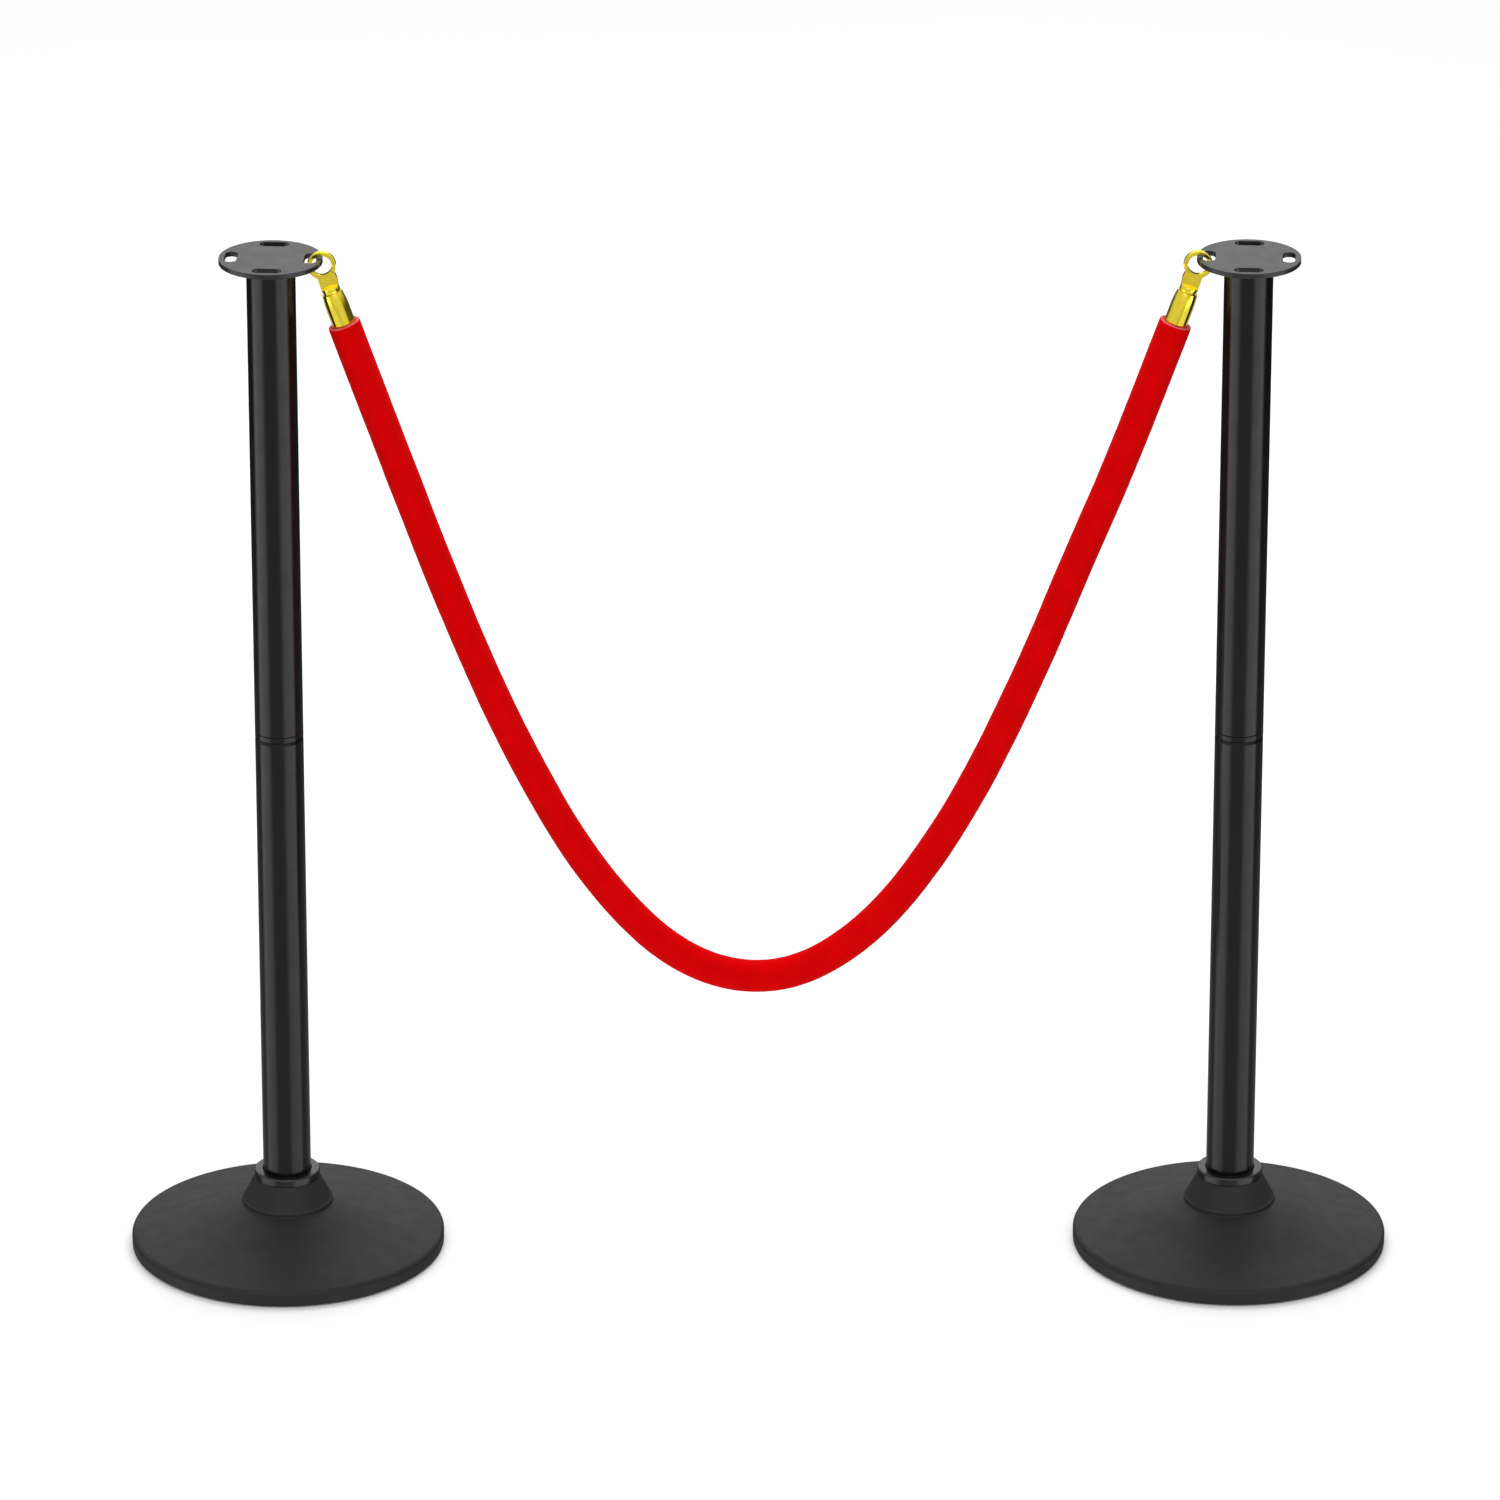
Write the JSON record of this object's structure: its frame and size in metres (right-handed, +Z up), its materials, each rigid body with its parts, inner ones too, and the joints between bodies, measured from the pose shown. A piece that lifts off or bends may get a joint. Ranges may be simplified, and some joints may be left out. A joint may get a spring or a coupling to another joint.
{
  "type": "rope barrier set",
  "caption": "Free-standing rope barrier: black posts with slotted top discs and domed weighted bases, joined by a hanging red plush rope on gold snap hooks.",
  "frame": {"origin": "on the floor, half way between the two posts' axes", "axes": "+Z up; +X from the left post to the right post, along the rope's span; +Y towards the back, square to the plane that the rope hangs in"},
  "size_m": [1.1582, 0.2882, 0.9708],
  "materials": {
    "post_paint": "semi-gloss black powder coat",
    "plate_paint": "satin black powder coat",
    "base_paint": "matte charcoal powder coat",
    "gloss_black": "glossy black",
    "foot_rubber": "matte black rubber",
    "concrete": "cast grey concrete",
    "zinc_steel": "zinc plated",
    "spring_steel": "bright spring wire",
    "gold_brass": "polished gold",
    "red_plush": "short red plush",
    "rope_core": "soft foam and cotton core"
  },
  "bodies": {
    "left_post": {"left_foot_ring": "foot_rubber", "left_base_weight": "concrete", "left_base_cover": "base_paint", "left_base_bolt": "zinc_steel", "left_base_washer": "zinc_steel", "left_collar": "gloss_black", "left_tube_foot": "zinc_steel", "left_lower_tube": "post_paint", "left_lower_coupling": "zinc_steel", "left_joint_ring": "post_paint", "left_joint_stud": "zinc_steel", "left_upper_coupling": "zinc_steel", "left_upper_tube": "post_paint", "left_top_plug": "post_paint", "left_plate_stud": "zinc_steel", "left_top_plate": "plate_paint"},
    "right_post": {"right_foot_ring": "foot_rubber", "right_base_weight": "concrete", "right_base_cover": "base_paint", "right_base_bolt": "zinc_steel", "right_base_washer": "zinc_steel", "right_collar": "gloss_black", "right_tube_foot": "zinc_steel", "right_lower_tube": "post_paint", "right_lower_coupling": "zinc_steel", "right_joint_ring": "post_paint", "right_joint_stud": "zinc_steel", "right_upper_coupling": "zinc_steel", "right_upper_tube": "post_paint", "right_top_plug": "post_paint", "right_plate_stud": "zinc_steel", "right_top_plate": "plate_paint"},
    "rope": {"rope_cover": "red_plush", "rope_core": "rope_core", "left_ferrule": "gold_brass", "left_ferrule_pin": "zinc_steel"},
    "rope_right_end": {"right_ferrule": "gold_brass", "right_ferrule_pin": "zinc_steel"},
    "left_hook": {"left_hook_body": "gold_brass", "left_gate_rivet": "gold_brass", "left_gate_spring": "spring_steel", "left_swivel_stem": "gold_brass"},
    "left_gate": {"left_gate": "gold_brass"},
    "right_hook": {"right_hook_body": "gold_brass", "right_gate_rivet": "gold_brass", "right_gate_spring": "spring_steel", "right_swivel_stem": "gold_brass"},
    "right_gate": {"right_gate": "gold_brass"}
  },
  "joints": [
    {"name": "post_spacing", "type": "slide", "parent": "left_post", "child": "right_post", "axis": [1, 0, 0], "range_m": [-0.1, 0.05]},
    {"name": "rope_swing", "type": "hinge", "parent": "left_post", "child": "rope", "pos_m": [0, 0, 0.965], "axis": [1, 0, 0], "range_deg": [-15, 15]},
    {"name": "rope_span", "type": "slide", "parent": "rope", "child": "rope_right_end", "axis": [1, 0, 0], "range_m": [-0.1, 0.05], "deforming": ["rope_cover", "rope_core"]},
    {"name": "left_hook_swivel", "type": "hinge", "parent": "rope", "child": "left_hook", "pos_m": [-0.38091, 0, 0.93237], "axis": [-0.3256, 0, 0.9455], "range_deg": [-12, 12]},
    {"name": "left_gate_hinge", "type": "hinge", "parent": "left_hook", "child": "left_gate", "pos_m": [-0.38472, 0, 0.94343], "axis": [0, -1, 0], "range_deg": [0, 20], "stiffness_Nm_per_rad": 0.02, "springref_deg": -28.65, "deforming": ["left_gate_spring"]},
    {"name": "right_hook_swivel", "type": "hinge", "parent": "rope_right_end", "child": "right_hook", "pos_m": [0.38091, 0, 0.93237], "axis": [0.3256, 0, 0.9455], "range_deg": [-12, 12]},
    {"name": "right_gate_hinge", "type": "hinge", "parent": "right_hook", "child": "right_gate", "pos_m": [0.38472, 0, 0.94343], "axis": [0, 1, 0], "range_deg": [0, 20], "stiffness_Nm_per_rad": 0.02, "springref_deg": -28.65, "deforming": ["right_gate_spring"]}
  ],
  "couplings": [
    {"joint": "rope_span", "follows": "post_spacing", "ratio": 1}
  ]
}
